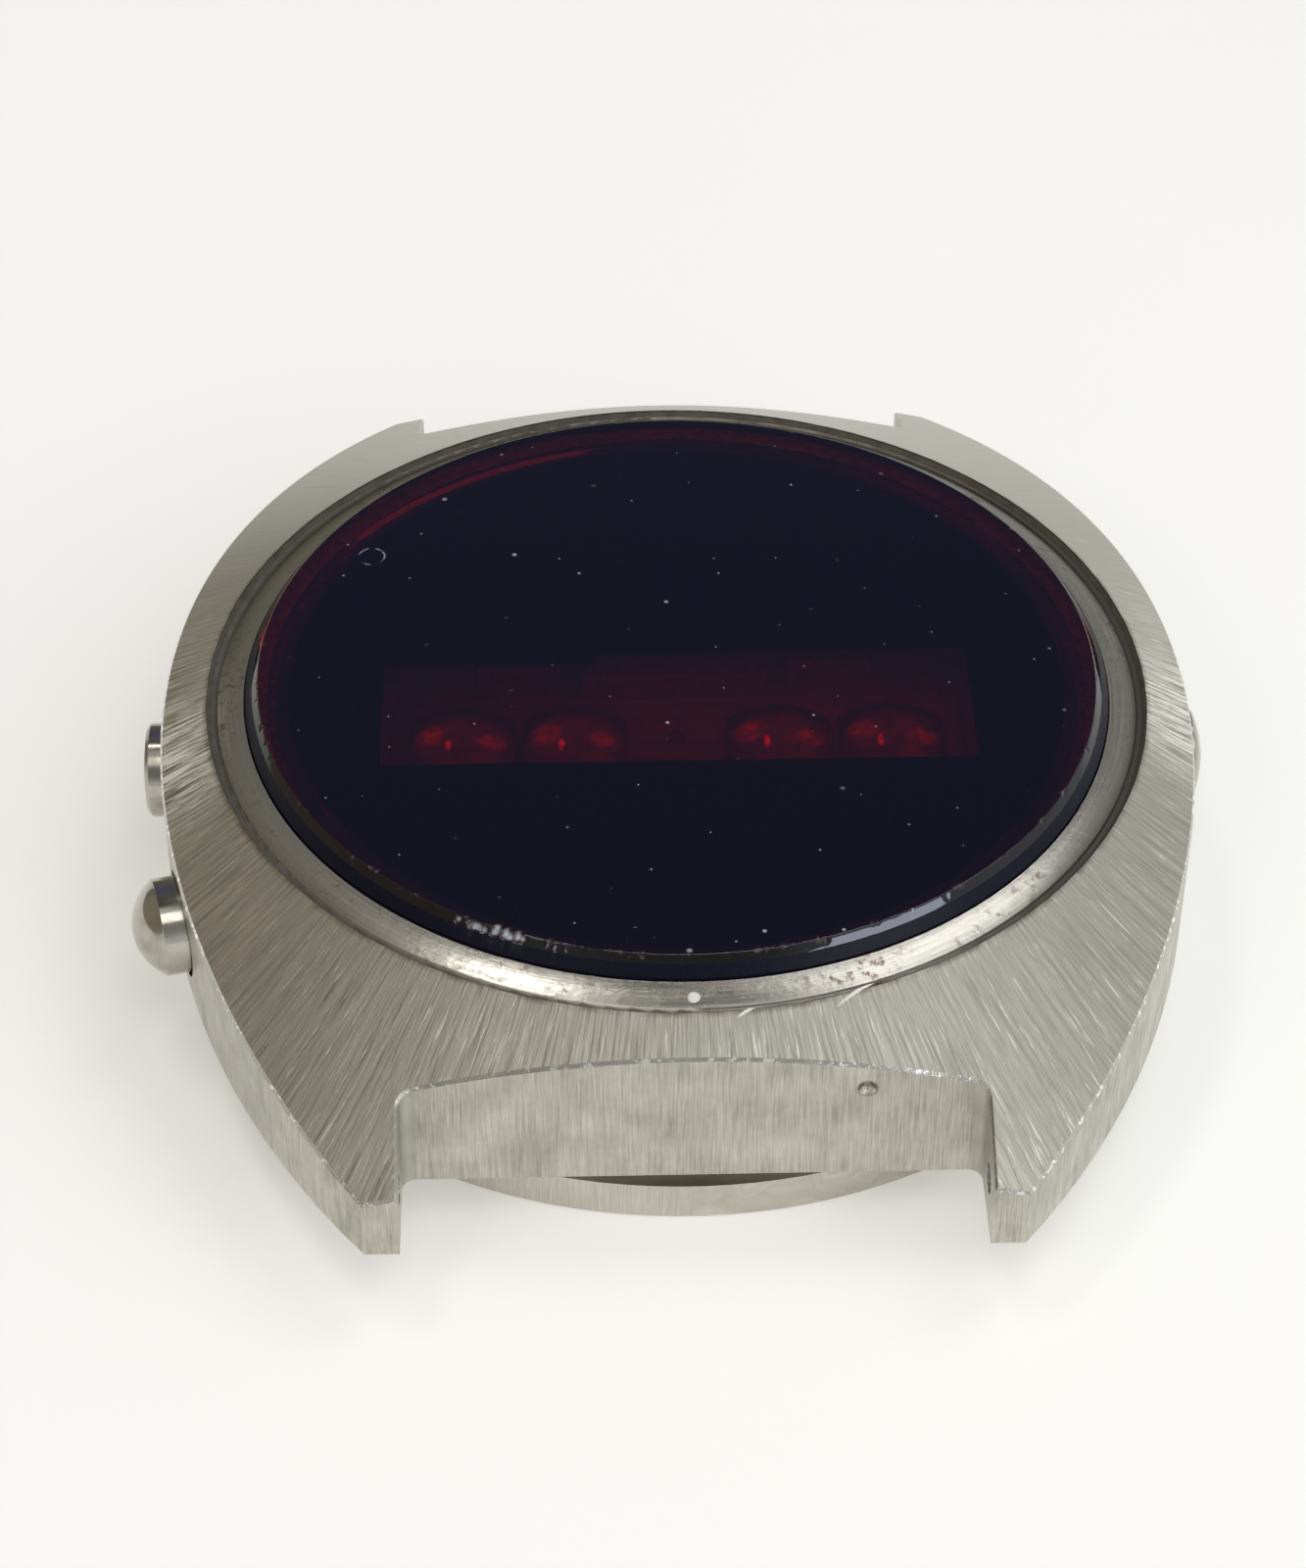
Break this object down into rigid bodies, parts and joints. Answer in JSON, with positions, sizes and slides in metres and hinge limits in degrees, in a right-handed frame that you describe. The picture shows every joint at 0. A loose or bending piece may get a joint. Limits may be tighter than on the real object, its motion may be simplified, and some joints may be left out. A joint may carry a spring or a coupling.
{
  "type": "led watch head",
  "caption": "Brushed steel digital watch head with strap lugs, a raised dark red display filter, a press-fit back and sprung side pushers.",
  "frame": {"origin": "centre of the case back's flat underside", "axes": "+Z out of the crystal, +Y to 12 o'clock, +X to 3 o'clock"},
  "size_m": [0.0401, 0.0446, 0.01],
  "materials": {
    "case_steel": "coarse brushed, radial on top",
    "back_steel": "brushed",
    "bezel_steel": "polished, stained with age",
    "pusher_steel": "polished",
    "filter_glass": "polished dark red",
    "mask_film": "black print",
    "seal_rubber": "matte",
    "gasket_nylon": "aged nylon",
    "bush_brass": "turned",
    "spring_steel": "drawn wire",
    "frame_plastic": "moulded",
    "board_laminate": "brown laminate, lacquered",
    "chip_ceramic": "fired, brown",
    "resistor_ceramic": "fired",
    "display_ceramic": "fired, metallised",
    "die_crystal": "polished",
    "lens_epoxy": "clear red cast epoxy",
    "cell_nickel": "nickel plated",
    "contact_brass": "gold flashed",
    "strap_steel": "stamped",
    "insulator_film": "amber film",
    "quartz_nickel": "drawn can",
    "trimmer_ceramic": "fired",
    "rotor_brass": "plated",
    "screw_steel": "turned"
  },
  "bodies": {
    "watch_case": {"case_middle": "case_steel", "case_back": "back_steel", "bezel_ring": "bezel_steel", "crystal": "filter_glass", "crystal_gasket": "gasket_nylon", "back_gasket": "seal_rubber", "dial_mask": "mask_film", "insulator": "insulator_film", "module_frame": "frame_plastic", "cell_left": "cell_nickel", "cell_right": "cell_nickel", "cell_strap": "strap_steel", "strap_screws": "screw_steel", "cell_contacts": "contact_brass", "circuit_board": "board_laminate", "clock_chip": "chip_ceramic", "driver_chips": "chip_ceramic", "resistors": "resistor_ceramic", "display_base": "display_ceramic", "led_dies": "die_crystal", "digit_lenses": "lens_epoxy", "quartz_can": "quartz_nickel", "trimmer_body": "trimmer_ceramic", "switch_leaves": "contact_brass", "display_pusher_bush": "bush_brass", "display_pusher_seal": "seal_rubber", "display_pusher_spring": "spring_steel", "minute_set_pusher_bush": "bush_brass", "minute_set_pusher_seal": "seal_rubber", "minute_set_pusher_spring": "spring_steel", "hour_set_pusher_bush": "bush_brass", "hour_set_pusher_seal": "seal_rubber", "hour_set_pusher_spring": "spring_steel"},
    "display_button": {"display_pusher": "pusher_steel", "display_pusher_clip": "spring_steel"},
    "minute_set_button": {"minute_set_pusher": "pusher_steel", "minute_set_pusher_clip": "spring_steel"},
    "hour_set_button": {"hour_set_pusher": "pusher_steel", "hour_set_pusher_clip": "spring_steel"},
    "rate_trimmer": {"trimmer_rotor": "rotor_brass"}
  },
  "joints": [
    {"name": "display_press", "type": "slide", "parent": "watch_case", "child": "display_button", "axis": [-0.9704, -0.2416, 0], "range_m": [0, 0.0008], "stiffness_N_per_m": 1200, "springref_m": -0.0005, "deforming": ["display_pusher_spring"]},
    {"name": "minute_press", "type": "slide", "parent": "watch_case", "child": "minute_set_button", "axis": [-1, 0, 0], "range_m": [0, 0.00045], "stiffness_N_per_m": 1500, "springref_m": -0.0003, "deforming": ["minute_set_pusher_spring"]},
    {"name": "hour_press", "type": "slide", "parent": "watch_case", "child": "hour_set_button", "axis": [1, 0, 0], "range_m": [0, 0.00045], "stiffness_N_per_m": 1500, "springref_m": -0.0003, "deforming": ["hour_set_pusher_spring"]},
    {"name": "trimmer_turn", "type": "hinge", "parent": "watch_case", "child": "rate_trimmer", "pos_m": [-0.00861, 0.00792, 0.0037], "axis": [0, 0, 1], "continuous": true}
  ]
}
